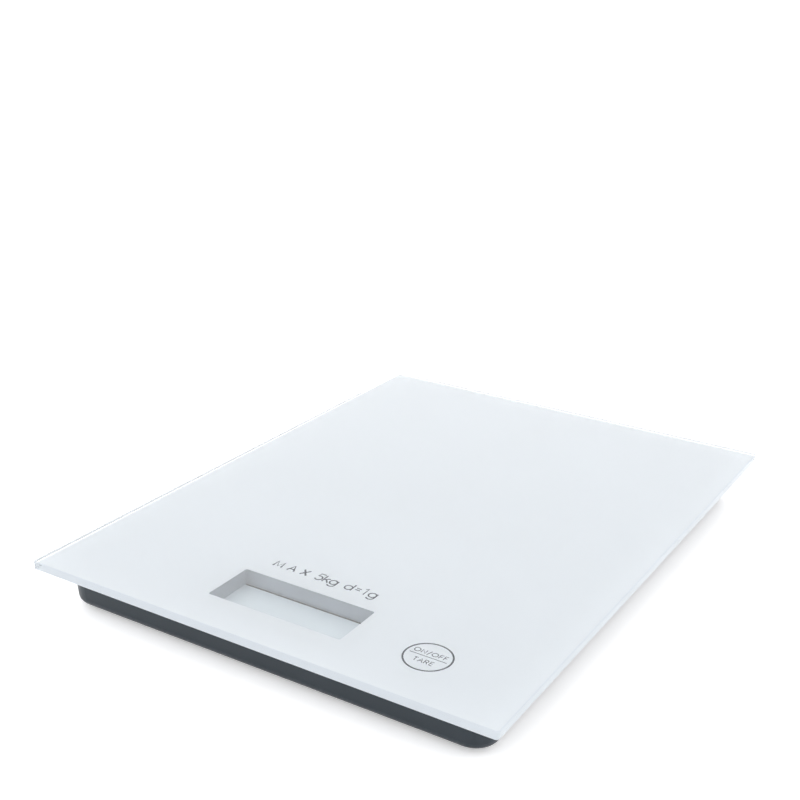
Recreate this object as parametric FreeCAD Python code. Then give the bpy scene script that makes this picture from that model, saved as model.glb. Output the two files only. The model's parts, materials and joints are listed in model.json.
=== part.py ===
import FreeCAD, Part

import math
import os

# Slim glass kitchen scale, in millimetres.
# Frame: +Z is up, +Y runs from the front edge (display and key) to the back, and the origin lies on
# the surface that the scale stands on, below the centre of the glass.

OUT = "parts"

# Glass platform and its white back print
glass_x = 170.0
glass_y = 230.0
glass_t = 2.8
glass_corner_r = 1.2
glass_arris = 0.3
print_t = 0.1
print_inset = 0.6

# Display window in the print, and the ring key beside it (centre and size)
window_x = -1.0
window_y = -88.4
window_w = 49.6
window_d = 19.7
window_r = 0.8
key_x = 50.2
key_y = -91.75
key_r = 7.2

# Heights above the table
tray_z = 1.5
floor_t = 1.8
rim_z = 14.4
tape_t = 0.4

# Tray under the glass
tray_inset_x = 6.2
tray_inset_y = 7.3
tray_draft = 1.0
tray_corner_r = 8.0
tray_wall = 2.0
tray_edge_r = 3.0
tray_inner_edge_r = 1.5
ledge_rib_w = 1.5
ledge_rib_depth = 2.0
floor_rib_t = 1.2
floor_rib_h = 3.0
label_w = 60.0
label_d = 30.0
label_y = 66.0
label_depth = 0.3

# Foam tape between the print and the rim
tape_inset = 1.0
tape_w = 6.0
tape_bar_w = 10.0

# Carrier frame inside the rim
carrier_t = 1.6
carrier_gap = 0.25
carrier_boss_r = 3.0
carrier_window_w = 50.0
carrier_window_d = 78.0
carrier_window_x = 35.5
carrier_window_y = 36.0

# Case screws, driven from below
case_screw_places = [(-68.0, -52.0), (68.0, -52.0), (-68.0, 52.0), (68.0, 52.0), (-20.0, 97.0), (20.0, 97.0)]
case_boss_r = 4.6
case_boss_top = 8.0
case_head_r = 2.6
case_head_t = 1.4
case_recess_r = 3.0
case_recess_depth = 2.5
case_shank_r = 1.2
case_clearance_r = 1.6

# Feet and load cells, one at each corner
corners = {"front_left": (-1, -1), "front_right": (1, -1), "rear_left": (-1, 1), "rear_right": (1, 1)}
foot_x = 57.0
foot_y = 87.0
foot_r = 12.0
foot_gap = 0.3
foot_bottom = 0.8
foot_flange_r = 13.2
foot_flange_lift = 0.4
foot_flange_t = 1.0
foot_post_r = 3.2
foot_pin_r = 1.5
foot_head_r = 2.1
foot_head_t = 0.9
pad_r = 9.8
pad_t = 1.6
cell_size = 30.0
cell_corner_r = 3.0
cell_t = 1.2
cell_z = 7.0
cell_screw_offset = 11.5
cell_screw_hole_r = 1.3
cell_pin_hole_r = 1.7
tongue_w = 12.0
tongue_root = -10.0
tongue_tip = 7.0
tongue_slot = 2.0
gauge_l = 6.0
gauge_w = 8.0
gauge_h = 1.5
holder_t = 2.2
holder_opening = 19.0
post_r = 2.4
locating_pin_r = 1.2
holder_screw_r = 1.0
holder_head_r = 2.0
holder_head_t = 1.4
holder_screw_bite = 2.6

# Main board and what is on it
board_x0 = -44.0
board_x1 = 54.0
board_y0 = -68.0
board_y1 = -38.0
board_z = 6.4
board_t = 1.0
board_screw_inset = 3.5
board_post_r = 2.2
board_screw_r = 0.9
board_head_r = 1.8
board_head_t = 1.2
blob_r = 6.5
blob_h = 1.6
blob_x = -6.0
blob_y = -54.0

# Unit switch under the board and its button in the tray's floor
unit_x = -26.0
unit_y = -53.0
switch_size = 6.0
switch_h = 1.9
switch_well_r = 1.6
switch_well_depth = 1.0
plunger_r = 1.5
plunger_out = 0.5
button_r = 4.7
button_gap = 0.3
button_recess = 0.3
button_flange_r = 5.8
button_flange_t = 0.6
button_guide_r = 6.2
button_guide_wall = 1.2
button_guide_h = 1.8

# Touch electrode under the glass and its contact spring on the board
touch_t = 0.2
touch_tail_w = 5.0
touch_spring_y = -58.0
touch_spring_r = 2.6
touch_wire_r = 0.2
touch_turns = 4
touch_runs_per_turn = 8
touch_seat_r = 3.2
touch_seat_t = 0.4

# Liquid-crystal display, its shroud and its ribbon
lcd_top = 9.2
lcd_w = 58.0
lcd_d = 26.5
lcd_glass_t = 0.7
lcd_film_t = 0.25
lcd_ledge = 2.8
lcd_film_margin = 2.0
shroud_gap = 0.4
shroud_wall = 1.2
shroud_flange = 1.5
shroud_flange_t = 1.2
shroud_foot_z = 5.6
ribbon_x0 = -22.0
ribbon_x1 = 18.0
ribbon_t = 0.15

# Coin cell, its pocket and its door
well_x = 0.0
well_y = -8.0
well_wall = 1.4
coin_r = 10.0
coin_t = 3.2
coin_cap_r = 8.9
coin_cap_t = 0.4
coin_gap = 0.35
coin_lift = 0.4
pocket_top = 8.6
roof_t = 1.2
door_w = 25.0
door_d = 31.0
door_t = 1.5
door_gap = 0.3
door_barrel_r = 0.75
door_pin_r = 0.5
door_pin_l = 1.5
door_pin_clearance = 0.06
door_hinge_from_edge = 0.9
latch_half_w = 4.0
latch_l = 6.0
latch_slot = 0.8
contact_t = 0.3
contact_w = 8.0
contact_tail_w = 3.0
contact_tail_top = 11.0

# Leads
lead_r = 0.8
battery_wire_r = 0.6
lead_z = 9.1

# Derived heights and sizes
floor_z = tray_z + floor_t
print_z = rim_z + tape_t
glass_z = print_z + print_t
tray_x = glass_x - 2 * tray_inset_x
tray_y = glass_y - 2 * tray_inset_y
cavity_x = tray_x - 2 * tray_wall
cavity_y = tray_y - 2 * tray_wall
cavity_corner_r = tray_corner_r - tray_wall
carrier_z = rim_z - carrier_t
cell_top = cell_z + cell_t
holder_top = cell_top + holder_t
board_top = board_z + board_t
recess_top = tray_z + case_recess_depth
hinge_y = well_y + door_d / 2 - door_hinge_from_edge
hinge_z = tray_z + door_barrel_r
coin_z = tray_z + door_t + coin_lift
coin_top = coin_z + coin_t
touch_z = print_z - touch_t
switch_z = board_z - switch_h
lcd_film_z = lcd_top - lcd_film_t
lcd_front_z = lcd_film_z - lcd_glass_t
lcd_rear_z = lcd_front_z - lcd_glass_t
lcd_reflector_z = lcd_rear_z - lcd_film_t


def vec(x, y, z):
    return FreeCAD.Vector(x, y, z)


def box(x0, x1, y0, y1, z0, z1):
    return Part.makeBox(x1 - x0, y1 - y0, z1 - z0, vec(x0, y0, z0))


def disc(x, y, r, z0, z1):
    return Part.makeCylinder(r, z1 - z0, vec(x, y, z0))


def ring(x, y, r_out, r_in, z0, z1):
    return disc(x, y, r_out, z0, z1).cut(disc(x, y, r_in, z0, z1))


def slab(x, y, w, d, r, z0, z1):
    """A block with rounded vertical edges, centred on x, y."""
    block = box(x - w / 2, x + w / 2, y - d / 2, y + d / 2, z0, z1)
    upright = [e for e in block.Edges if abs(e.BoundBox.ZLength - (z1 - z0)) < 1e-6]
    return block.makeFillet(r, upright)


def edges_at(shape, z):
    return [e for e in shape.Edges if abs(e.BoundBox.ZMin - z) < 1e-6 and abs(e.BoundBox.ZMax - z) < 1e-6]


def join(shapes):
    whole = shapes[0]
    for shape in shapes[1:]:
        whole = whole.fuse(shape)
    return whole.removeSplitter()


def carve(shape, tools):
    for tool in tools:
        shape = shape.cut(tool)
    return shape


def prism_along_x(points, x0, x1):
    """A prism along X from a closed outline of (y, z) points."""
    corners_3d = [vec(x0, y, z) for y, z in points]
    face = Part.Face(Part.makePolygon(corners_3d + corners_3d[:1]))
    return face.extrude(vec(x1 - x0, 0, 0))


def prism_along_y(points, y0, y1):
    """A prism along Y from a closed outline of (x, z) points."""
    corners_3d = [vec(x, y0, z) for x, z in points]
    face = Part.Face(Part.makePolygon(corners_3d + corners_3d[:1]))
    return face.extrude(vec(0, y1 - y0, 0))


def tube(points, r):
    """A round lead along straight runs joined by tangent arcs."""
    points = [vec(*p) for p in points]
    edges = []
    start = points[0]
    for before, corner, after in zip(points, points[1:], points[2:]):
        back = (before - corner).normalize()
        ahead = (after - corner).normalize()
        half_turn = (math.pi - back.getAngle(ahead)) / 2
        reach = 0.45 * min((before - corner).Length, (after - corner).Length)
        bend_r = reach / math.tan(half_turn)
        to_centre = (back + ahead).normalize()
        middle = corner + to_centre * (bend_r / math.cos(half_turn) - bend_r)
        arc_start = corner + back * reach
        arc_end = corner + ahead * reach
        edges.append(Part.LineSegment(start, arc_start).toShape())
        edges.append(Part.Arc(arc_start, middle, arc_end).toShape())
        start = arc_end
    edges.append(Part.LineSegment(start, points[-1]).toShape())
    path = Part.Wire(edges)
    section = Part.Wire(Part.makeCircle(r, points[0], points[1] - points[0]))
    return path.makePipeShell([section], True, True)


def cross_head_screw(x, y, head_r, head_t, shank_r, seat_z, tip_z, slot_depth):
    """A cross-head screw: the head stands on seat_z, away from the tip."""
    away = 1 if tip_z < seat_z else -1
    head_z = sorted([seat_z, seat_z + away * head_t])
    shank_z = sorted([seat_z, tip_z])
    head = disc(x, y, head_r, head_z[0], head_z[1])
    crown = seat_z + away * head_t
    head = head.makeFillet(head_t * 0.45, edges_at(head, crown))
    slot_z = sorted([crown, crown - away * slot_depth])
    half_w = head_r * 0.13
    half_l = head_r * 0.55
    screw = join([head, disc(x, y, shank_r, shank_z[0], shank_z[1])])
    slots = [
        box(x - half_l, x + half_l, y - half_w, y + half_w, slot_z[0], slot_z[1]),
        box(x - half_w, x + half_w, y - half_l, y + half_l, slot_z[0], slot_z[1]),
    ]
    return carve(screw, slots)


def place_at_corner(shape, name):
    """Move a shape drawn for the right side, round the origin, to a corner of the scale."""
    side, end = corners[name]
    placed = shape.copy()
    if side < 0:
        placed.rotate(vec(0, 0, 0), vec(0, 0, 1), 180)
    placed.translate(vec(side * foot_x, end * foot_y, 0))
    return placed


def cell_corner(kind):
    """The two cell corners that take screws, or the two that take locating pins."""
    sign = 1 if kind == "screw" else -1
    return [(cell_screw_offset, sign * cell_screw_offset), (-cell_screw_offset, -sign * cell_screw_offset)]


# Glass, print and tape


def make_glass_plate():
    plate = slab(0, 0, glass_x, glass_y, glass_corner_r, glass_z, glass_z + glass_t)
    rims = edges_at(plate, glass_z) + edges_at(plate, glass_z + glass_t)
    return plate.makeChamfer(glass_arris, rims)


def make_back_print():
    w = glass_x - 2 * print_inset
    d = glass_y - 2 * print_inset
    film = slab(0, 0, w, d, glass_corner_r - print_inset, print_z, glass_z)
    window = slab(window_x, window_y, window_w, window_d, window_r, print_z - 1, glass_z + 1)
    return film.cut(window)


def make_foam_tape():
    w = tray_x - 2 * tape_inset
    d = tray_y - 2 * tape_inset
    r = tray_corner_r - tape_inset
    outer = slab(0, 0, w, d, r, rim_z, print_z)
    inner = slab(0, 0, w - 2 * tape_w, d - 2 * tape_w, 1.0, rim_z - 1, print_z + 1)
    frame = outer.cut(inner)
    bar_y = carrier_window_y - carrier_window_d / 2
    bar = box(-w / 2 + 1, w / 2 - 1, bar_y - tape_bar_w - 2, bar_y - 2, rim_z, print_z)
    spine = box(-tape_bar_w / 2, tape_bar_w / 2, bar_y - 3, d / 2 - 1, rim_z, print_z)
    return join([frame, bar, spine])


# Carrier and tray


def make_carrier_frame():
    plate = slab(
        0, 0, cavity_x - 2 * carrier_gap, cavity_y - 2 * carrier_gap, cavity_corner_r, carrier_z, rim_z
    )
    bosses = [disc(x, y, carrier_boss_r, case_boss_top, carrier_z) for x, y in case_screw_places]
    frame = join([plate] + bosses)
    holes = [disc(x, y, case_shank_r, case_boss_top, carrier_z + 0.2) for x, y in case_screw_places]
    shroud_w = window_w + 2 * (shroud_gap + shroud_wall + carrier_gap)
    shroud_d = window_d + 2 * (shroud_gap + shroud_wall + carrier_gap)
    holes.append(slab(window_x, window_y, shroud_w, shroud_d, 1.5, carrier_z - 1, rim_z + 1))
    holes.append(disc(key_x, touch_spring_y, touch_spring_r + 1.5, carrier_z - 1, rim_z + 1))
    for side in (-1, 1):
        x = side * carrier_window_x
        holes.append(
            slab(x, carrier_window_y, carrier_window_w, carrier_window_d, 6.0, carrier_z - 1, rim_z + 1)
        )
    return carve(frame, holes)


def drafted_slab(w, d, r, z0, z1):
    """A centred block whose walls lean in towards the bottom by the tray's draft."""
    lean = tray_draft / (rim_z - tray_z)
    wires = []
    for z in (z0, z1):
        inward = (rim_z - z) * lean
        level = slab(0, 0, w - 2 * inward, d - 2 * inward, r, z, z + 1)
        wires.append(Part.Wire(Part.__sortEdges__(edges_at(level, z))))
    return Part.makeLoft(wires, True, True)


def tray_shell():
    outer = drafted_slab(tray_x, tray_y, tray_corner_r, tray_z, rim_z)
    outer = outer.makeFillet(tray_edge_r, edges_at(outer, tray_z))
    cavity = drafted_slab(cavity_x, cavity_y, cavity_corner_r, floor_z, rim_z + 1)
    cavity = cavity.makeFillet(tray_inner_edge_r, edges_at(cavity, floor_z))
    return outer.cut(cavity)


def tray_ledge_ribs():
    """Upright ribs round the wall, which the carrier frame sits on."""
    ribs = []
    half = ledge_rib_w / 2
    for y in (-60.0, -30.0, 0.0, 30.0, 60.0):
        for side in (-1, 1):
            outer = side * (cavity_x / 2 + 0.5)
            inner = side * (cavity_x / 2 - ledge_rib_depth)
            ribs.append(box(min(outer, inner), max(outer, inner), y - half, y + half, floor_z - 0.5, carrier_z))
    for x in (-36.0, 0.0, 36.0):
        for end in (-1, 1):
            outer = end * (cavity_y / 2 + 0.5)
            inner = end * (cavity_y / 2 - ledge_rib_depth)
            ribs.append(box(x - half, x + half, min(outer, inner), max(outer, inner), floor_z - 0.5, carrier_z))
    return ribs


def tray_floor_ribs():
    """A low grid that stiffens the rear half of the floor."""
    top = floor_z + floor_rib_h
    half = floor_rib_t / 2
    ribs = [box(x - half, x + half, 14.0, 90.0, floor_z - 0.5, top) for x in (-30.0, 0.0, 30.0)]
    ribs += [box(-38.0, 38.0, y - half, y + half, floor_z - 0.5, top) for y in (30.0, 56.0, 82.0)]
    return ribs


def tray_cell_posts():
    posts = []
    for name in corners:
        for x, y in cell_corner("screw"):
            post = disc(x, y, post_r, floor_z - 0.5, cell_z)
            posts.append(place_at_corner(post, name))
        for x, y in cell_corner("pin"):
            post = disc(x, y, post_r, floor_z - 0.5, cell_z)
            pin = disc(x, y, locating_pin_r, cell_z - 0.5, holder_top - 0.6)
            posts.append(place_at_corner(join([post, pin]), name))
    return posts


def board_screw_places():
    xs = (board_x0 + board_screw_inset, board_x1 - board_screw_inset)
    ys = (board_y0 + board_screw_inset, board_y1 - board_screw_inset)
    return [(x, y) for x in xs for y in ys]


def tray_battery_block():
    w = door_w + 2 * (door_gap + well_wall)
    d = door_d + 2 * (door_gap + well_wall)
    return slab(well_x, well_y, w, d, 2.0, floor_z - 0.5, pocket_top + roof_t)


def tray_battery_cuts():
    """Door recess, coin pocket, hinge pin bore, contact slots and finger scoop."""
    w = door_w + 2 * door_gap
    d = door_d + 2 * door_gap
    recess = box(
        well_x - w / 2, well_x + w / 2, well_y - d / 2, well_y + d / 2, tray_z - 1, tray_z + door_t + 0.1
    )
    pocket = disc(well_x, well_y, coin_r + coin_gap, tray_z, pocket_top)
    bore_half = w / 2 + door_pin_l + 0.2
    bore = Part.makeCylinder(
        door_pin_r + door_pin_clearance, 2 * bore_half, vec(well_x - bore_half, hinge_y, hinge_z), vec(1, 0, 0)
    )
    tail_half = contact_tail_w / 2 + 0.3
    plus_slot = box(coin_r - 0.6, coin_r + 0.6, -tail_half, tail_half, pocket_top - 0.1, pocket_top + roof_t + 1)
    plus_slot.translate(vec(well_x, well_y, 0))
    minus_slot = box(-7.3, -6.4, -tail_half, tail_half, pocket_top - 0.1, pocket_top + roof_t + 1)
    minus_slot.translate(vec(well_x, well_y, 0))
    scoop_r = 9.0
    scoop_depth = 1.2
    scoop = Part.makeSphere(scoop_r, vec(well_x, well_y - d / 2, tray_z - scoop_r + scoop_depth))
    return [recess, pocket, bore, plus_slot, minus_slot, scoop]


def make_bottom_tray():
    solids = [tray_shell()]
    solids += tray_ledge_ribs()
    solids += tray_floor_ribs()
    solids += tray_cell_posts()
    solids += [disc(x, y, case_boss_r, floor_z - 0.5, case_boss_top) for x, y in case_screw_places]
    solids += [disc(x, y, board_post_r, floor_z - 0.5, board_z) for x, y in board_screw_places()]
    rib_l = lcd_w / 2 - 4.0
    for dy in (-8.0, 8.0):
        y = window_y + dy
        solids.append(
            box(window_x - rib_l, window_x + rib_l, y - 0.8, y + 0.8, floor_z - 0.5, lcd_reflector_z)
        )
    guide_out = button_guide_r + button_guide_wall
    solids.append(ring(unit_x, unit_y, guide_out, button_guide_r, floor_z - 0.5, floor_z + button_guide_h))
    solids.append(tray_battery_block())
    tray = join(solids)
    cuts = tray_battery_cuts()
    for side, end in corners.values():
        cuts.append(disc(side * foot_x, end * foot_y, foot_r + foot_gap, tray_z - 1, floor_z + 0.1))
    for x, y in case_screw_places:
        cuts.append(disc(x, y, case_recess_r, tray_z - 1, recess_top))
        cuts.append(disc(x, y, case_clearance_r, tray_z, case_boss_top + 1))
    for x, y in board_screw_places():
        cuts.append(disc(x, y, board_screw_r, floor_z + 0.2, board_z + 1))
    for name in corners:
        for x, y in cell_corner("screw"):
            hole = disc(x, y, holder_screw_r, cell_z - holder_screw_bite, cell_z + 1)
            cuts.append(place_at_corner(hole, name))
    cuts.append(disc(unit_x, unit_y, button_r + button_gap, tray_z - 1, floor_z + 0.1))
    cuts.append(slab(0, label_y, label_w, label_d, 2.0, tray_z - 1, tray_z + label_depth))
    return carve(tray, cuts)


def make_case_screws():
    tip = carrier_z + 0.2
    return [
        cross_head_screw(x, y, case_head_r, case_head_t, case_shank_r, recess_top, tip, 0.8)
        for x, y in case_screw_places
    ]


# Display


def make_display_shroud():
    inner_w = window_w + 2 * shroud_gap
    inner_d = window_d + 2 * shroud_gap
    outer_w = inner_w + 2 * shroud_wall
    outer_d = inner_d + 2 * shroud_wall
    flange_w = lcd_w + 2 * shroud_flange
    flange_d = lcd_d + 2 * shroud_flange
    neck = slab(window_x, window_y, outer_w, outer_d, 1.4, lcd_top, print_z)
    flange = slab(window_x, window_y, flange_w, flange_d, 2.0, lcd_top, lcd_top + shroud_flange_t)
    skirt = slab(window_x, window_y, flange_w, flange_d, 2.0, shroud_foot_z, lcd_top)
    skirt_room = box(
        window_x - lcd_w / 2 - 0.2,
        window_x + lcd_w / 2 + 0.2,
        window_y - lcd_d / 2 - 0.2,
        window_y + lcd_d / 2 + 0.2,
        shroud_foot_z - 1,
        lcd_top,
    )
    sight = slab(window_x, window_y, inner_w, inner_d, 0.6, lcd_top - 1, print_z + 1)
    ribbon_slot = box(ribbon_x0 - 1, ribbon_x1 + 1, window_y + lcd_d / 2, board_y0, shroud_foot_z - 1, lcd_top)
    return carve(join([neck, flange, skirt.cut(skirt_room)]), [sight, ribbon_slot])


def lcd_layer(w, d, y_shift, z0, z1):
    y = window_y + y_shift
    return box(window_x - w / 2, window_x + w / 2, y - d / 2, y + d / 2, z0, z1)


def make_lcd_layers():
    film_w = lcd_w - lcd_film_margin
    film_d = lcd_d - lcd_ledge - lcd_film_margin
    shift = -lcd_ledge / 2
    return {
        "lcd_polariser": lcd_layer(film_w, film_d, shift, lcd_film_z, lcd_top),
        "lcd_front_glass": lcd_layer(lcd_w, lcd_d - lcd_ledge, shift, lcd_front_z, lcd_film_z),
        "lcd_rear_glass": lcd_layer(lcd_w, lcd_d, 0, lcd_rear_z, lcd_front_z),
        "lcd_reflector": lcd_layer(film_w, film_d, shift, lcd_reflector_z, lcd_rear_z),
    }


def make_lcd_ribbon():
    """A flat printed ribbon from the ledge of the rear glass down to the board."""
    edge = window_y + lcd_d / 2
    lower = [
        (edge - lcd_ledge + 0.3, lcd_front_z),
        (edge + 0.6, lcd_front_z),
        (board_y0 + 0.4, board_top),
        (board_y0 + 4.0, board_top),
    ]
    upper = [(y, z + ribbon_t) for y, z in reversed(lower)]
    return prism_along_x(lower + upper, ribbon_x0, ribbon_x1)


# Board


def make_main_board():
    w = board_x1 - board_x0
    d = board_y1 - board_y0
    board = slab((board_x0 + board_x1) / 2, (board_y0 + board_y1) / 2, w, d, 1.5, board_z, board_top)
    return carve(board, [disc(x, y, board_screw_r, board_z - 1, board_top + 1) for x, y in board_screw_places()])


def make_board_screws():
    tip = floor_z + 0.6
    return [
        cross_head_screw(x, y, board_head_r, board_head_t, board_screw_r, board_top, tip, 0.6)
        for x, y in board_screw_places()
    ]


def make_controller_cap():
    """The black epoxy dome over the controller chip."""
    sphere_r = (blob_r**2 + blob_h**2) / (2 * blob_h)
    ball = Part.makeSphere(sphere_r, vec(blob_x, blob_y, board_top + blob_h - sphere_r))
    return ball.common(disc(blob_x, blob_y, blob_r, board_top, board_top + blob_h + 1))


def make_board_components():
    """Chip resistors and capacitors, two larger capacitors, the crystal can and the spring's solder seat."""
    pieces = [disc(key_x, touch_spring_y, touch_seat_r, board_top, board_top + touch_seat_t)]
    for i in range(7):
        x = 8.0 + 3.2 * i
        pieces.append(box(x, x + 1.0, -48.0, -46.0, board_top, board_top + 0.6))
    for i in range(4):
        x = -22.0 + 2.6 * i
        pieces.append(box(x, x + 0.8, -44.0, -42.4, board_top, board_top + 0.5))
    for x in (16.0, 24.0):
        pieces.append(disc(x, -56.0, 2.0, board_top, board_top + 3.0))
    pieces.append(slab(-27.0, -62.0, 9.0, 3.4, 1.6, board_top, board_top + 2.6))
    return pieces


# Unit switch and button


def make_unit_switch():
    half = switch_size / 2
    body = box(unit_x - half, unit_x + half, unit_y - half, unit_y + half, switch_z, board_z)
    return body.cut(disc(unit_x, unit_y, switch_well_r, switch_z - 1, switch_z + switch_well_depth))


def make_unit_switch_plunger():
    return disc(unit_x, unit_y, plunger_r, switch_z - plunger_out, switch_z + 0.5)


def make_unit_button():
    top = switch_z - plunger_out
    cap = disc(unit_x, unit_y, button_r, tray_z + button_recess, top)
    cap = cap.makeFillet(0.4, edges_at(cap, tray_z + button_recess))
    flange = disc(unit_x, unit_y, button_flange_r, top - button_flange_t, top)
    dish_r = 14.0
    dish = Part.makeSphere(dish_r, vec(unit_x, unit_y, tray_z + button_recess + 0.5 - dish_r))
    return join([cap, flange]).cut(dish)


# Touch key


def make_touch_pad():
    half = touch_tail_w / 2
    tail = box(key_x - half, key_x + half, key_y, touch_spring_y + touch_spring_r + 1.0, touch_z, print_z)
    return join([disc(key_x, key_y, key_r, touch_z, print_z), tail])


def make_touch_spring():
    """The coil spring between the board and the key's electrode, its wire in short runs and tangent arcs."""
    start = board_top + touch_seat_t + touch_wire_r
    height = touch_z - touch_wire_r - start
    steps = touch_runs_per_turn * touch_turns
    points = []
    for i in range(steps + 1):
        angle = 2 * math.pi * i / touch_runs_per_turn
        x = key_x + touch_spring_r * math.cos(angle)
        y = touch_spring_y + touch_spring_r * math.sin(angle)
        points.append((x, y, start + height * i / steps))
    return tube(points, touch_wire_r)


# Coin cell, contacts and door


def make_coin_cell():
    can = disc(well_x, well_y, coin_r, coin_z, coin_top - coin_cap_t)
    can = can.makeFillet(0.5, edges_at(can, coin_z))
    can = can.makeFillet(0.3, edges_at(can, coin_top - coin_cap_t))
    cap = disc(well_x, well_y, coin_cap_r, coin_top - coin_cap_t - 0.2, coin_top)
    return join([can, cap.makeFillet(0.2, edges_at(cap, coin_top))])


def make_battery_contact_positive():
    """A spring strip against the side of the can, with its tail up through the pocket's roof."""
    wrap = ring(0, 0, coin_r + contact_t, coin_r, coin_z + 0.6, contact_tail_top)
    low = box(0, coin_r + 1, -contact_w / 2, contact_w / 2, coin_z + 0.6, coin_top - 0.7)
    tail = box(0, coin_r + 1, -contact_tail_w / 2, contact_tail_w / 2, coin_z + 0.6, contact_tail_top)
    strip = wrap.common(join([low, tail]))
    strip.translate(vec(well_x, well_y, 0))
    return strip


def make_battery_contact_negative():
    """A bent leaf from the pocket's roof down to the cell's cap."""
    seat = pocket_top - contact_t
    lower = [(-7.0, seat), (-5.5, seat), (-1.2, coin_top), (1.2, coin_top), (3.6, coin_top + 0.9)]
    upper = [(x, z + contact_t) for x, z in reversed(lower)]
    leaf = prism_along_y(lower + upper, -contact_tail_w / 2, contact_tail_w / 2)
    tail = box(-7.0, -7.0 + contact_t, -contact_tail_w / 2, contact_tail_w / 2, seat, contact_tail_top)
    strip = join([leaf, tail])
    strip.translate(vec(well_x, well_y, 0))
    return strip


def make_battery_door():
    front = well_y - door_d / 2
    half = door_w / 2
    panel = box(well_x - half, well_x + half, front, hinge_y, tray_z, tray_z + door_t)
    barrel = Part.makeCylinder(door_barrel_r, door_w, vec(well_x - half, hinge_y, hinge_z), vec(1, 0, 0))
    pin_half = half + door_pin_l
    pins = Part.makeCylinder(door_pin_r, 2 * pin_half, vec(well_x - pin_half, hinge_y, hinge_z), vec(1, 0, 0))
    door = join([panel, barrel, pins])
    cuts = []
    for side in (-1, 1):
        x = well_x + side * latch_half_w
        cuts.append(
            box(x - latch_slot / 2, x + latch_slot / 2, front - 1, front + latch_l, tray_z - 1, tray_z + door_t + 1)
        )
    for i in range(3):
        y = front + latch_l + 2.0 + 1.6 * i
        cuts.append(box(well_x - 5.0, well_x + 5.0, y, y + 0.7, tray_z - 1, tray_z + 0.35))
    return carve(door, cuts)


def make_battery_wires():
    top = lead_z + 1.5
    land = board_top + battery_wire_r
    wires = {}
    starts = {
        "battery_wire_positive": well_x + coin_r + contact_t + battery_wire_r,
        "battery_wire_negative": well_x - 7.0 - battery_wire_r,
    }
    for name, x in starts.items():
        points = [
            (x, well_y + 1.2, top),
            (x, -26.0, top),
            (x, -33.0, land),
            (x, board_y1 - 3.0, land),
        ]
        wires[name] = tube(points, battery_wire_r)
    return wires


# Load cells, holders and feet


def cell_plate():
    plate = slab(0, 0, cell_size, cell_size, cell_corner_r, cell_z, cell_top)
    half = tongue_w / 2
    slot = box(tongue_root, tongue_tip + tongue_slot, -half - tongue_slot, half + tongue_slot, cell_z - 1, cell_top + 1)
    tongue = box(tongue_root, tongue_tip, -half, half, cell_z - 1, cell_top + 1)
    holes = [slot.cut(tongue), disc(0, 0, cell_pin_hole_r, cell_z - 1, cell_top + 1)]
    for x, y in cell_corner("screw") + cell_corner("pin"):
        holes.append(disc(x, y, cell_screw_hole_r, cell_z - 1, cell_top + 1))
    return carve(plate, holes)


def gauge_cover():
    """The silicone over the strain gauges, at the root of the tongue."""
    x = tongue_root + gauge_l / 2 + 0.5
    cover = slab(x, 0, gauge_l, gauge_w, 1.5, cell_top, cell_top + gauge_h)
    return cover.makeFillet(0.6, edges_at(cover, cell_top + gauge_h))


def cell_holder():
    frame = slab(0, 0, cell_size, cell_size, cell_corner_r, cell_top, holder_top)
    cuts = [slab(0, 0, holder_opening + 1, holder_opening, 2.0, cell_top - 1, holder_top + 1)]
    cuts.append(box(-cell_size, 0, -lead_r - 1, lead_r + 1, cell_top - 1, lead_z + lead_r + 0.1))
    for x, y in cell_corner("screw"):
        cuts.append(disc(x, y, holder_screw_r + 0.1, cell_top - 1, holder_top + 1))
    for x, y in cell_corner("pin"):
        cuts.append(disc(x, y, locating_pin_r + 0.05, cell_top - 1, holder_top + 1))
    return carve(frame, cuts)


def foot_body():
    top = floor_z + foot_flange_lift + foot_flange_t
    cap = disc(0, 0, foot_r, foot_bottom, top)
    cap = cap.makeFillet(0.6, edges_at(cap, foot_bottom))
    flange = disc(0, 0, foot_flange_r, top - foot_flange_t, top)
    post = disc(0, 0, foot_post_r, top - 0.5, cell_z)
    pin_top = cell_top + 0.1
    pin = disc(0, 0, foot_pin_r, cell_z - 0.5, pin_top + 0.2)
    head = Part.makeCone(foot_head_r, foot_pin_r - 0.3, foot_head_t, vec(0, 0, pin_top))
    recess = disc(0, 0, pad_r, foot_bottom - 1, pad_t)
    return join([cap.cut(recess), flange, post, pin, head])


def foot_pad():
    pad = disc(0, 0, pad_r, 0, pad_t)
    return pad.makeFillet(0.3, edges_at(pad, 0))


def make_holder_screws():
    screws = []
    for name in corners:
        for x, y in cell_corner("screw"):
            tip = cell_z - holder_screw_bite
            screw = cross_head_screw(x, y, holder_head_r, holder_head_t, holder_screw_r, holder_top, tip, 0.7)
            screws.append(place_at_corner(screw, name))
    return screws


def sensor_lead(name):
    """A three-core lead from the gauges to the board: short at the front, along the tray from the rear."""
    side, end = corners[name]
    start_x = foot_x + tongue_root + 0.5
    land_z = board_top + lead_r
    if end < 0:
        points = [
            (start_x, -foot_y, lead_z),
            (37.0, -foot_y, lead_z),
            (36.0, -71.5, lead_z),
            (36.3, -66.0, land_z),
            (37.0, -60.0, land_z),
        ]
    else:
        points = [
            (start_x, foot_y, lead_z),
            (34.0, foot_y, lead_z),
            (33.0, 60.0, lead_z),
            (34.5, 25.0, lead_z),
            (33.0, -8.0, lead_z),
            (34.0, -33.0, lead_z),
            (34.5, -38.5, land_z),
            (34.5, -45.0, land_z),
        ]
    return tube([(side * x, y, z) for x, y, z in points], lead_r)


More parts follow.
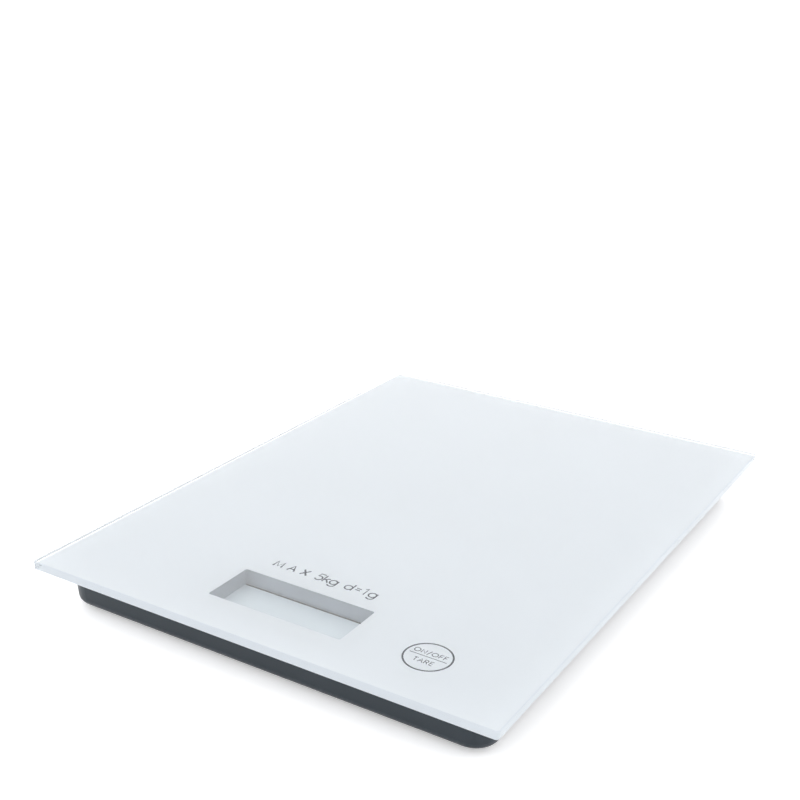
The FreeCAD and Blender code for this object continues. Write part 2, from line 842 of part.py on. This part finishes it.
def write(name, shape):
    if isinstance(shape, list):
        shape = Part.makeCompound(shape)
    for solid in shape.Solids:
        if not solid.isValid() or solid.Volume <= 0:
            raise ValueError(name + " is not a valid solid")
    shape.exportStep(os.path.join(OUT, name + ".step"))
    print(name, len(shape.Solids), round(shape.Volume, 1))


def main():
    os.makedirs("parts", exist_ok=True)
    nodes = {
        "glass_plate": make_glass_plate(),
        "back_print": make_back_print(),
        "foam_tape": make_foam_tape(),
        "carrier_frame": make_carrier_frame(),
        "bottom_tray": make_bottom_tray(),
        "case_screws": make_case_screws(),
        "display_shroud": make_display_shroud(),
        "lcd_ribbon": make_lcd_ribbon(),
        "main_board": make_main_board(),
        "board_screws": make_board_screws(),
        "controller_cap": make_controller_cap(),
        "board_components": make_board_components(),
        "unit_switch": make_unit_switch(),
        "unit_switch_plunger": make_unit_switch_plunger(),
        "unit_button": make_unit_button(),
        "touch_pad": make_touch_pad(),
        "touch_spring": make_touch_spring(),
        "coin_cell": make_coin_cell(),
        "battery_contact_positive": make_battery_contact_positive(),
        "battery_contact_negative": make_battery_contact_negative(),
        "battery_door": make_battery_door(),
        "holder_screws": make_holder_screws(),
    }
    nodes.update(make_lcd_layers())
    nodes.update(make_battery_wires())
    for name in corners:
        nodes["load_cell_" + name] = place_at_corner(cell_plate(), name)
        nodes["gauge_cover_" + name] = place_at_corner(gauge_cover(), name)
        nodes["load_cell_holder_" + name] = place_at_corner(cell_holder(), name)
        nodes["foot_" + name] = place_at_corner(foot_body(), name)
        nodes["foot_pad_" + name] = place_at_corner(foot_pad(), name)
        nodes["sensor_lead_" + name] = sensor_lead(name)
    for name, shape in nodes.items():
        write(name, shape)


main()
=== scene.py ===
import json
import math

import bmesh
import bpy
from mathutils import Matrix, Vector


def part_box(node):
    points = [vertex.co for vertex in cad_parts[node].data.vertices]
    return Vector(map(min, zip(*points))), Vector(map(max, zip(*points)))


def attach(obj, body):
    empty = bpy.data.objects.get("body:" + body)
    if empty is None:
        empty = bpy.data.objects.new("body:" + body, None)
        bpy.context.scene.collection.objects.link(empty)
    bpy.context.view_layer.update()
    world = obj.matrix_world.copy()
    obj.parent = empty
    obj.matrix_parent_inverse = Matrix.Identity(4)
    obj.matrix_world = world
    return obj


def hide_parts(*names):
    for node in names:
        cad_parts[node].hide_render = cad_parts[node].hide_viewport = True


# Looks of the slim glass kitchen scale, in metres, in the CAD model's own frame:
# +Z up, +Y from the front edge to the back, origin on the table below the glass's centre.

MM = 0.001
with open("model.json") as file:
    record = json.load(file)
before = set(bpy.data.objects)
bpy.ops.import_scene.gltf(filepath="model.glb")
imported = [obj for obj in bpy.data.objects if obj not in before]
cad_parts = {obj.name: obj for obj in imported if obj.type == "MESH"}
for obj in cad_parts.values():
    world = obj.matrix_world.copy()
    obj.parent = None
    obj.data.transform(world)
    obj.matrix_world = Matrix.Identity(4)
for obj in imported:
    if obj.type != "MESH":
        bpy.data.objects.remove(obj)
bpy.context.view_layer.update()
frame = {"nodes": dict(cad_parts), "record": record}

# Camera: where the eye is, what it looks at, its roll and its lens
CAMERA_EYE = Vector((0.205285, -0.375026, 0.215648))
CAMERA_FORWARD = Vector((-0.47664, 0.80708, -0.34848))
CAMERA_RIGHT = Vector((0.85491, 0.5179, 0.03015))
CAMERA_LENS = 57.791
CAMERA_SENSOR = 36.0
CAMERA_CLIP = 0.01

# Glass and print
GLASS_CORNER_R = 1.2 * MM
GLASS_ARRIS = 0.3 * MM
PRINT_IN_GLASS = 0.02 * MM
PRINT_CORNER_R = 0.6 * MM
WINDOW_HALF_X = 24.8 * MM
WINDOW_HALF_Y = 9.85 * MM
WINDOW_R = 0.8 * MM
INK_T = 0.02 * MM

# Ring key and its marks
RING_R = 7.73 * MM
RING_LINE = 0.56 * MM
DIVIDER_L = 12.4 * MM
DIVIDER_W = 0.26 * MM
LABEL_CAP = 1.9 * MM
LABEL_STROKE = 0.3 * MM
LABEL_RAISE = 1.1 * MM
LABEL_DROP = 3.6 * MM
CAPACITY_CAP = 4.0 * MM
CAPACITY_STROKE = 0.5 * MM
MAX_CAP = 3.4 * MM
MAX_STROKE = 0.62 * MM
CAPACITY_GAP = 7.0 * MM
MAX_START = 5.4 * MM
WEIGHT_STEP = 16.3 * MM
DIVISION_STEP = 27.6 * MM

# Stage
FLOOR_HALF = 30.0
FLOOR_GLOW = 0.35
STUDIO_LIGHT = 1.5
SOFTBOX_PLACE = (-0.9, -0.5, 1.6)
SOFTBOX_SIDE = 1.6
SOFTBOX_POWER = 3.5

# Colour of the tinned spots on the board
TIN = (0.62, 0.60, 0.55)

# The part of a noise's range that the roughness follows
NOISE_MIDDLE = (0.3, 0.7)

# Relief of the surfaces, in metres
MOULD_GRAIN = 0.000018
ROLLER_WAVE = 0.0000015
BRUSHED_SCRATCH = 0.000004
RUBBER_PORE = 0.00002
FOAM_CELL = 0.00008
TRACK_STEP = 0.00002
FILM_HAZE = 0.000003
DRAWING_LINE = 0.00001
EPOXY_SINK = 0.00004


# Node trees


def new_material(name, roughness, **plain):
    """A Principled material. plain holds the sockets that are the same all over the surface."""
    mat = bpy.data.materials.new(name)
    mat.use_nodes = True
    shader = mat.node_tree.nodes["Principled BSDF"]
    shader.inputs["Roughness"].default_value = roughness
    for socket, value in plain.items():
        shader.inputs[socket.replace("_", " ")].default_value = value
    return mat, mat.node_tree, shader


def place_coordinates(tree, scale, stretch=(1, 1, 1)):
    """The point on the object in its own space, scaled per metre."""
    where = tree.nodes.new("ShaderNodeTexCoord")
    mapping = tree.nodes.new("ShaderNodeMapping")
    mapping.inputs["Scale"].default_value = [scale * s for s in stretch]
    tree.links.new(where.outputs["Object"], mapping.inputs["Vector"])
    return mapping.outputs["Vector"]


def noise(tree, scale, detail=3.0, rough=0.5, stretch=(1, 1, 1)):
    node = tree.nodes.new("ShaderNodeTexNoise")
    node.inputs["Scale"].default_value = 1.0
    node.inputs["Detail"].default_value = detail
    node.inputs["Roughness"].default_value = rough
    tree.links.new(place_coordinates(tree, scale, stretch), node.inputs["Vector"])
    return node.outputs["Fac"]


def cells(tree, scale):
    node = tree.nodes.new("ShaderNodeTexVoronoi")
    node.inputs["Scale"].default_value = 1.0
    tree.links.new(place_coordinates(tree, scale), node.inputs["Vector"])
    return node.outputs["Distance"]


def spread(tree, value, low, high, to_low, to_high):
    """Stretch a value's range low..high to to_low..to_high, clamped."""
    node = tree.nodes.new("ShaderNodeMapRange")
    sockets = ("From Min", "From Max", "To Min", "To Max")
    for socket, number in zip(sockets, (low, high, to_low, to_high)):
        node.inputs[socket].default_value = number
    tree.links.new(value, node.inputs["Value"])
    return node.outputs["Result"]


def blend_colours(tree, factor, first, second):
    node = tree.nodes.new("ShaderNodeMix")
    node.data_type = "RGBA"
    for socket, colour in ((node.inputs[6], first), (node.inputs[7], second)):
        if isinstance(colour, bpy.types.NodeSocket):
            tree.links.new(colour, socket)
        else:
            socket.default_value = (*colour, 1.0)
    tree.links.new(factor, node.inputs[0])
    return node.outputs[2]


def add_bump(tree, shader, height, depth, strength=1.0):
    """depth is the relief's height in metres."""
    node = tree.nodes.new("ShaderNodeBump")
    node.inputs["Strength"].default_value = strength
    node.inputs["Distance"].default_value = depth
    tree.links.new(height, node.inputs["Height"])
    tree.links.new(node.outputs["Normal"], shader.inputs["Normal"])


def shade(colour, factor):
    return tuple(min(1.0, c * factor) for c in colour)


def vary_colour(tree, shader, factor, colour, darker, lighter):
    """Let the base colour run between a darker and a lighter shade of one colour."""
    tone = blend_colours(tree, factor, shade(colour, darker), shade(colour, lighter))
    tree.links.new(tone, shader.inputs["Base Color"])


def vary_roughness(tree, shader, factor, smooth, rough):
    """Let the roughness follow the middle of a noise's range."""
    tree.links.new(spread(tree, factor, *NOISE_MIDDLE, smooth, rough), shader.inputs["Roughness"])


# Materials


def moulded_plastic(name, colour, rough=0.45, gloss=0.5):
    """Injection-moulded plastic: spark-eroded grain, slight mottling, rub marks that shine."""
    mat, tree, shader = new_material(name, rough, IOR=1.5, Specular_IOR_Level=gloss)
    mottling = noise(tree, 55, 4)
    rubs = spread(tree, noise(tree, 22, 5, 0.65), 0.56, 0.72, 0.0, 1.0)
    tone = blend_colours(tree, mottling, shade(colour, 0.88), shade(colour, 1.12))
    tone = blend_colours(tree, spread(tree, rubs, 0, 1, 0, 0.25), tone, shade(colour, 1.35))
    tree.links.new(tone, shader.inputs["Base Color"])
    tree.links.new(spread(tree, rubs, 0, 1, rough, rough - 0.08), shader.inputs["Roughness"])
    add_bump(tree, shader, noise(tree, 2600, 2, 0.6), MOULD_GRAIN)
    return mat


def clear_glass(name, tint, rough=0.0):
    """Clear glass that lets light through to what is behind it, with faint waves from tempering."""
    mat, tree, shader = new_material(name, rough, IOR=1.52, Transmission_Weight=1.0)
    shader.inputs["Base Color"].default_value = (*tint, 1.0)
    add_bump(tree, shader, noise(tree, 18, 1), ROLLER_WAVE)
    path = tree.nodes.new("ShaderNodeLightPath")
    clear = tree.nodes.new("ShaderNodeBsdfTransparent")
    clear.inputs["Color"].default_value = (*tint, 1.0)
    mix = tree.nodes.new("ShaderNodeMixShader")
    tree.links.new(path.outputs["Is Shadow Ray"], mix.inputs[0])
    tree.links.new(shader.outputs[0], mix.inputs[1])
    tree.links.new(clear.outputs[0], mix.inputs[2])
    tree.links.new(mix.outputs[0], tree.nodes["Material Output"].inputs["Surface"])
    return mat


def enamel_print(name, colour):
    """Screen-printed enamel: nearly even white, with fine mesh marks, and slightly see-through."""
    mat, tree, shader = new_material(name, 0.55, IOR=1.45)
    mesh_marks = noise(tree, 900, 2, 0.4)
    clouds = noise(tree, 14, 4, 0.6)
    tone = blend_colours(tree, clouds, shade(colour, 0.975), shade(colour, 1.015))
    marks = spread(tree, mesh_marks, 0.3, 0.7, 0.0, 0.4)
    tone = blend_colours(tree, marks, tone, shade(colour, 0.985))
    tree.links.new(tone, shader.inputs["Base Color"])
    through = tree.nodes.new("ShaderNodeBsdfTranslucent")
    tree.links.new(tone, through.inputs["Color"])
    mix = tree.nodes.new("ShaderNodeMixShader")
    mix.inputs[0].default_value = 0.12
    tree.links.new(shader.outputs[0], mix.inputs[1])
    tree.links.new(through.outputs[0], mix.inputs[2])
    tree.links.new(mix.outputs[0], tree.nodes["Material Output"].inputs["Surface"])
    return mat


def printed_ink(name, colour):
    """Grey ink with the ragged density of a fine screen print."""
    mat, tree, shader = new_material(name, 0.6)
    vary_colour(tree, shader, noise(tree, 5200, 3, 0.7), colour, 0.75, 1.3)
    return mat


def brushed_metal(name, colour, rough=0.32, stretch=(1, 14, 1)):
    """Sheet or turned metal with fine scratches one way and patches of handling haze."""
    mat, tree, shader = new_material(name, rough, Metallic=1.0)
    lines = noise(tree, 420, 4, 0.65, stretch)
    haze = noise(tree, 60, 3)
    vary_colour(tree, shader, lines, colour, 0.82, 1.12)
    worn = spread(tree, haze, 0.35, 0.7, rough - 0.06, rough + 0.16)
    tree.links.new(worn, shader.inputs["Roughness"])
    add_bump(tree, shader, lines, BRUSHED_SCRATCH)
    return mat


def soft_rubber(name, colour, rough=0.75):
    """Soft rubber or silicone: pores and a dusty bloom."""
    mat, tree, shader = new_material(name, rough, IOR=1.47)
    bloom = noise(tree, 90, 5, 0.7)
    pores = cells(tree, 1800)
    vary_colour(tree, shader, bloom, colour, 0.85, 1.3)
    vary_roughness(tree, shader, bloom, rough - 0.1, rough + 0.1)
    add_bump(tree, shader, pores, RUBBER_PORE, 0.6)
    return mat


def foam(name, colour):
    """Closed-cell foam: visible cells at its cut edges."""
    mat, tree, shader = new_material(name, 0.9)
    pores = cells(tree, 2400)
    vary_colour(tree, shader, pores, colour, 0.8, 1.05)
    add_bump(tree, shader, pores, FOAM_CELL)
    return mat


def circuit_board(name, colour):
    """Green solder mask over copper tracks, with tinned spots."""
    mat, tree, shader = new_material(name, 0.32, IOR=1.5)
    tracks = tree.nodes.new("ShaderNodeTexBrick")
    tracks.inputs["Scale"].default_value = 1.0
    tracks.inputs["Mortar Size"].default_value = 0.06
    tracks.inputs["Brick Width"].default_value = 1.7
    tree.links.new(place_coordinates(tree, 260), tracks.inputs["Vector"])
    mask = blend_colours(tree, tracks.outputs["Fac"], colour, shade(colour, 1.7))
    spots = spread(tree, cells(tree, 330), 0.10, 0.14, 1.0, 0.0)
    tone = blend_colours(tree, spots, mask, TIN)
    tree.links.new(tone, shader.inputs["Base Color"])
    vary_roughness(tree, shader, noise(tree, 300), 0.26, 0.42)
    add_bump(tree, shader, tracks.outputs["Fac"], TRACK_STEP)
    return mat


def display_film(name, colour, rough=0.3):
    """Display film: a fine anti-glare haze and a slow drift of tone across the panel."""
    mat, tree, shader = new_material(name, rough, IOR=1.49)
    drift = noise(tree, 30, 1)
    vary_colour(tree, shader, drift, colour, 0.94, 1.05)
    vary_roughness(tree, shader, noise(tree, 7000), rough - 0.05, rough + 0.05)
    add_bump(tree, shader, noise(tree, 9000, 1), FILM_HAZE)
    return mat


def insulation(name, colour):
    """Extruded wire insulation: slightly glossy, with faint drawing lines."""
    mat, tree, shader = new_material(name, 0.38, IOR=1.5)
    lines = noise(tree, 700, 2, 0.5, (1, 0.1, 1))
    vary_colour(tree, shader, lines, colour, 0.85, 1.15)
    add_bump(tree, shader, lines, DRAWING_LINE)
    return mat


def epoxy(name, colour):
    """Poured epoxy or a moulded chip body: glossy with tiny sink waves."""
    mat, tree, shader = new_material(name, 0.24, IOR=1.55)
    waves = noise(tree, 350, 2)
    vary_colour(tree, shader, waves, colour, 0.8, 1.5)
    vary_roughness(tree, shader, noise(tree, 120), 0.18, 0.4)
    add_bump(tree, shader, waves, EPOXY_SINK)
    return mat


def pale_floor(name):
    """A plain pale light table, seen through from below so that the underside can be looked at."""
    mat, tree, shader = new_material(name, 0.7, Emission_Strength=FLOOR_GLOW)
    tone = blend_colours(tree, noise(tree, 3, 2), (0.88, 0.88, 0.885), (0.90, 0.90, 0.90))
    tree.links.new(tone, shader.inputs["Base Color"])
    tree.links.new(tone, shader.inputs["Emission Color"])
    side = tree.nodes.new("ShaderNodeNewGeometry")
    clear = tree.nodes.new("ShaderNodeBsdfTransparent")
    mix = tree.nodes.new("ShaderNodeMixShader")
    tree.links.new(side.outputs["Backfacing"], mix.inputs[0])
    tree.links.new(shader.outputs[0], mix.inputs[1])
    tree.links.new(clear.outputs[0], mix.inputs[2])
    tree.links.new(mix.outputs[0], tree.nodes["Material Output"].inputs["Surface"])
    return mat


MATERIALS = {
    "clear_glass": clear_glass("clear_glass", (0.965, 0.995, 0.985)),
    "ground_edge": clear_glass("ground_edge", (0.82, 0.865, 0.885), 0.22),
    "white_print": enamel_print("white_print", (0.90, 0.925, 0.975)),
    "ring_ink": printed_ink("ring_ink", (0.012, 0.019, 0.034)),
    "label_ink": printed_ink("label_ink", (0.018, 0.026, 0.045)),
    "foam_tape": foam("foam_tape", (0.30, 0.31, 0.32)),
    "inner_plastic": moulded_plastic("inner_plastic", (0.62, 0.62, 0.60), 0.5),
    "tray_plastic": moulded_plastic("tray_plastic", (0.010, 0.017, 0.024), 0.4, 0.34),
    "zinc_steel": brushed_metal("zinc_steel", (0.62, 0.62, 0.60), 0.3, (1, 1, 6)),
    "black_plastic": moulded_plastic("black_plastic", (0.38, 0.41, 0.475), 0.5),
    "ribbon_film": display_film("ribbon_film", (0.34, 0.36, 0.40), 0.28),
    "circuit_board": circuit_board("circuit_board", (0.012, 0.10, 0.035)),
    "black_epoxy": epoxy("black_epoxy", (0.010, 0.010, 0.011)),
    "component_black": epoxy("component_black", (0.018, 0.018, 0.019)),
    "key_plastic": moulded_plastic("key_plastic", (0.10, 0.112, 0.12), 0.42),
    "copper_foil": brushed_metal("copper_foil", (0.80, 0.42, 0.25), 0.26, (9, 1, 1)),
    "spring_steel": brushed_metal("spring_steel", (0.70, 0.69, 0.66), 0.22),
    "cell_steel": brushed_metal("cell_steel", (0.74, 0.74, 0.73), 0.2, (1, 1, 1)),
    "lcd_film": display_film("lcd_film", (0.62, 0.66, 0.725), 0.34),
    "lcd_glass": clear_glass("lcd_glass", (0.90, 0.95, 0.93)),
    "lcd_reflector": brushed_metal("lcd_reflector", (0.70, 0.72, 0.72), 0.38),
    "red_wire": insulation("red_wire", (0.50, 0.015, 0.012)),
    "black_wire": insulation("black_wire", (0.012, 0.012, 0.012)),
    "cell_plate_steel": brushed_metal("cell_plate_steel", (0.60, 0.61, 0.62), 0.34, (14, 1, 1)),
    "white_silicone": soft_rubber("white_silicone", (0.78, 0.78, 0.76), 0.6),
    "foot_plastic": moulded_plastic("foot_plastic", (0.010, 0.016, 0.022), 0.46, 0.34),
    "foot_rubber": soft_rubber("foot_rubber", (0.055, 0.060, 0.065), 0.8),
    "lead_sleeve": insulation("lead_sleeve", (0.70, 0.70, 0.68)),
}


def dress_cad_nodes():
    """Give every CAD node the material of its slot."""
    slots = {row["node"]: row["material_slot"] for row in frame["record"]["subparts"]}
    for name, node in frame["nodes"].items():
        node.data.materials.clear()
        node.data.materials.append(MATERIALS[slots[name]])


# Mesh building


def add_piece(name, mesh, materials, replaces=()):
    """Link a finished mesh, dress it, fix it to the housing and hide the CAD nodes that it stands
    in for.
    """
    piece = bpy.data.objects.new(name, mesh)
    bpy.context.scene.collection.objects.link(piece)
    for material in materials:
        mesh.materials.append(MATERIALS[material])
    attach(piece, "housing")
    if replaces:
        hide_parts(*replaces)
    return piece


def arc(cx, cy, r, start, end, steps):
    """Points on an arc, angles in degrees."""
    angles = [math.radians(start + (end - start) * i / steps) for i in range(steps + 1)]
    return [(cx + r * math.cos(a), cy + r * math.sin(a)) for a in angles]


def rounded_outline(x0, x1, y0, y1, r, steps=10):
    """A rounded rectangle, anticlockwise."""
    return (
        arc(x1 - r, y1 - r, r, 0, 90, steps)
        + arc(x0 + r, y1 - r, r, 90, 180, steps)
        + arc(x0 + r, y0 + r, r, 180, 270, steps)
        + arc(x1 - r, y0 + r, r, 270, 360, steps)
    )


def curve_to_mesh(name, curve):
    """The mesh that a curve makes."""
    holder = bpy.data.objects.new(name + "_curve", curve)
    bpy.context.scene.collection.objects.link(holder)
    graph = bpy.context.evaluated_depsgraph_get()
    mesh = bpy.data.meshes.new_from_object(holder.evaluated_get(graph))
    bpy.data.objects.remove(holder)
    mesh.name = name
    return mesh


def flat_mesh(name, outlines, z0, z1):
    """A flat solid between two heights; an outline inside another is a hole."""
    curve = bpy.data.curves.new(name, "CURVE")
    curve.dimensions = "2D"
    curve.fill_mode = "BOTH"
    curve.extrude = (z1 - z0) / 2
    for outline in outlines:
        spline = curve.splines.new("POLY")
        spline.points.add(len(outline) - 1)
        for point, (x, y) in zip(spline.points, outline):
            point.co = (x, y, 0, 1)
        spline.use_cyclic_u = True
    mesh = curve_to_mesh(name, curve)
    mesh.transform(Matrix.Translation((0, 0, (z0 + z1) / 2)))
    return mesh


def stroke_mesh(name, strokes, width, z):
    """Thin flat ink lines of even width along open paths."""
    curve = bpy.data.curves.new(name, "CURVE")
    curve.dimensions = "3D"
    curve.bevel_depth = width / 2
    curve.bevel_resolution = 1
    curve.use_fill_caps = True
    for stroke in strokes:
        spline = curve.splines.new("POLY")
        spline.points.add(len(stroke) - 1)
        for point, (x, y) in zip(spline.points, stroke):
            point.co = (x, y, 0, 1)
    mesh = curve_to_mesh(name, curve)
    mesh.transform(Matrix.Translation((0, 0, z)) @ Matrix.Diagonal((1, 1, INK_T / width, 1)))
    return mesh


def make_glass_plate():
    """The platform: a rounded slab with a fine ground arris along both rims."""
    low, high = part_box("glass_plate")
    outline = rounded_outline(low.x, high.x, low.y, high.y, GLASS_CORNER_R, 16)
    mesh = bpy.data.meshes.new("glass_platform")
    shell = bmesh.new()
    bottom = [shell.verts.new((x, y, low.z)) for x, y in outline]
    top = [shell.verts.new((x, y, high.z)) for x, y in outline]
    shell.faces.new(top)
    shell.faces.new(list(reversed(bottom)))
    for i in range(len(outline)):
        j = (i + 1) % len(outline)
        side = shell.faces.new((bottom[i], bottom[j], top[j], top[i]))
        side.material_index = 1
    bmesh.ops.remove_doubles(shell, verts=shell.verts, dist=1e-7)
    shell.to_mesh(mesh)
    shell.free()
    materials = ["clear_glass", "ground_edge"]
    piece = add_piece("glass_platform", mesh, materials, replaces=["glass_plate"])
    bevel = piece.modifiers.new("arris", "BEVEL")
    bevel.width = GLASS_ARRIS
    bevel.segments = 2
    bevel.limit_method = "ANGLE"
    bevel.angle_limit = math.radians(60)
    bevel.material = 1


def make_back_print():
    """White enamel on the back of the glass, bonded into it, with the display window left clear."""
    low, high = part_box("back_print")
    window_low, window_high = window_box()
    outer = rounded_outline(low.x, high.x, low.y, high.y, PRINT_CORNER_R)
    window = rounded_outline(window_low.x, window_high.x, window_low.y, window_high.y, WINDOW_R, 6)
    mesh = flat_mesh("white_back_print", [outer, window], low.z, high.z + PRINT_IN_GLASS)
    add_piece("white_back_print", mesh, ["white_print"], replaces=["back_print"])


def window_box():
    """Corners of the clear display window, centred on the display."""
    low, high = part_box("lcd_rear_glass")
    centre = (low + high) / 2
    half = Vector((WINDOW_HALF_X, WINDOW_HALF_Y, 0))
    return centre - half, centre + half


# Printed marks: strokes on a grid whose unit is the cap height


def glyph(letter):
    """(advance width, strokes) of one plain sans letter, cap height 1."""
    bowl = arc(0.33, 0.33, 0.33, 0, 360, 20)
    shapes = {
        "M": (0.98, [[(0, 0), (0.08, 1), (0.46, 0.12), (0.84, 1), (0.92, 0)]]),
        "A": (0.86, [[(0, 0), (0.4, 1), (0.8, 0)], [(0.15, 0.36), (0.65, 0.36)]]),
        "X": (0.78, [[(0, 0), (0.7, 1)], [(0, 1), (0.7, 0)]]),
        "5": (0.72, [[(0.6, 1), (0.16, 1), (0.1, 0.6)] + arc(0.28, 0.32, 0.32, 115, -145, 16)]),
        "k": (0.58, [[(0, 0), (0, 1)], [(0.48, 0.66), (0.02, 0.28)], [(0.2, 0.42), (0.52, 0)]]),
        "g": (0.78, [bowl, [(0.66, 0.66), (0.66, -0.02)] + arc(0.33, -0.02, 0.33, 0, -150, 10)]),
        "d": (0.78, [bowl, [(0.66, 0), (0.66, 1)]]),
        "=": (0.56, [[(0, 0.62), (0.44, 0.62)], [(0, 0.36), (0.44, 0.36)]]),
        "1": (0.40, [[(0.0, 0.82), (0.2, 1), (0.2, 0)]]),
        "O": (1.06, [arc(0.48, 0.5, 0.49, 0, 360, 24)]),
        "N": (0.88, [[(0, 0), (0, 1), (0.72, 0), (0.72, 1)]]),
        "/": (0.50, [[(0, -0.1), (0.4, 1.1)]]),
        "F": (0.62, [[(0, 0), (0, 1), (0.5, 1)], [(0, 0.52), (0.44, 0.52)]]),
        "T": (0.72, [[(0, 1), (0.64, 1)], [(0.32, 1), (0.32, 0)]]),
        "R": (0.76, [[(0, 0), (0, 1), (0.32, 1)] + arc(0.34, 0.75, 0.25, 90, -90, 8) + [(0, 0.5)],
                     [(0.3, 0.5), (0.6, 0)]]),
        "E": (0.62, [[(0.5, 0), (0, 0), (0, 1), (0.5, 1)], [(0, 0.52), (0.44, 0.52)]]),
        " ": (0.55, []),
    }
    return shapes[letter]


def word_strokes(word, cap, x, y, spacing, centred=False):
    """Strokes of a word that starts at x, or is centred on it, with its baseline at y."""
    widths = [glyph(letter)[0] + spacing for letter in word]
    if centred:
        x -= cap * (sum(widths) - spacing) / 2
    strokes = []
    for letter, width in zip(word, widths):
        strokes += [[(x + cap * px, y + cap * py) for px, py in path] for path in glyph(letter)[1]]
        x += cap * width
    return strokes


def print_strokes(name, strokes, width, z):
    """Strokes in label ink, as a piece of their own."""
    add_piece(name, stroke_mesh(name, strokes, width, z), ["label_ink"])


def make_marks():
    """The ring key with its two labels, and the capacity line behind the window."""
    ink_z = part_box("back_print")[1].z + PRINT_IN_GLASS + INK_T / 2
    # The electrode is a disc with a tail towards the back, so its box gives the key's centre
    pad_low, pad_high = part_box("touch_pad")
    key_x = (pad_low.x + pad_high.x) / 2
    key_y = pad_low.y + (pad_high.x - pad_low.x) / 2
    circles = [arc(key_x, key_y, r, 0, 360, 96)[:-1] for r in (RING_R, RING_R - RING_LINE)]
    ring = flat_mesh("key_ring", circles, ink_z - INK_T / 2, ink_z + INK_T / 2)
    add_piece("key_ring", ring, ["ring_ink"])
    divider = [[(key_x - DIVIDER_L / 2, key_y), (key_x + DIVIDER_L / 2, key_y)]]
    print_strokes("key_divider", divider, DIVIDER_W, ink_z)
    upper = word_strokes("ON/OFF", LABEL_CAP, key_x, key_y + LABEL_RAISE, 0.22, True)
    lower = word_strokes("TARE", LABEL_CAP, key_x, key_y - LABEL_DROP, 0.2, True)
    print_strokes("key_labels", upper + lower, LABEL_STROKE, ink_z)
    low, high = window_box()
    base = high.y + CAPACITY_GAP
    start = low.x + MAX_START
    bold = word_strokes("MAX", MAX_CAP, start, base, 0.65)
    print_strokes("capacity_word", bold, MAX_STROKE, ink_z)
    line = word_strokes("5kg", CAPACITY_CAP, start + WEIGHT_STEP, base, 0.04)
    line += word_strokes("d=1g", CAPACITY_CAP, start + DIVISION_STEP, base, 0.17)
    print_strokes("capacity_line", line, CAPACITY_STROKE, ink_z)


# Stage


def make_floor():
    mesh = bpy.data.meshes.new("floor")
    corners = [(x * FLOOR_HALF, y * FLOOR_HALF, 0) for x, y in ((-1, -1), (1, -1), (1, 1), (-1, 1))]
    mesh.from_pydata(corners, [], [(0, 1, 2, 3)])
    floor = bpy.data.objects.new("floor", mesh)
    bpy.context.scene.collection.objects.link(floor)
    mesh.materials.append(pale_floor("pale_floor"))


def make_softbox(name, place, side, power):
    """A square lamp aimed at the object, which doesn't show as a reflection."""
    lamp = bpy.data.lights.new(name, "AREA")
    lamp.shape = "RECTANGLE"
    lamp.size = lamp.size_y = side
    lamp.energy = power
    holder = bpy.data.objects.new(name, lamp)
    holder.location = place
    holder.visible_glossy = False
    holder.rotation_euler = (-Vector(place)).to_track_quat("-Z", "Y").to_euler()
    bpy.context.scene.collection.objects.link(holder)


def make_lights():
    world = bpy.data.worlds.new("studio")
    world.use_nodes = True
    world.node_tree.nodes["Background"].inputs["Color"].default_value = (1.0, 1.0, 1.0, 1.0)
    world.node_tree.nodes["Background"].inputs["Strength"].default_value = STUDIO_LIGHT
    bpy.context.scene.world = world
    make_softbox("key_softbox", SOFTBOX_PLACE, SOFTBOX_SIDE, SOFTBOX_POWER)


def make_camera():
    data = bpy.data.cameras.new("camera")
    data.lens = CAMERA_LENS
    data.sensor_width = CAMERA_SENSOR
    data.clip_start = CAMERA_CLIP
    camera = bpy.data.objects.new("camera", data)
    back = -CAMERA_FORWARD.normalized()
    right = CAMERA_RIGHT.normalized()
    up = back.cross(right)
    turn = Matrix((right, up, back)).transposed()
    camera.matrix_world = Matrix.Translation(CAMERA_EYE) @ turn.to_4x4()
    bpy.context.scene.collection.objects.link(camera)
    bpy.context.scene.camera = camera


def main():
    bpy.context.scene.view_settings.view_transform = "Standard"
    dress_cad_nodes()
    make_glass_plate()
    make_back_print()
    make_marks()
    make_floor()
    make_lights()
    make_camera()


main()
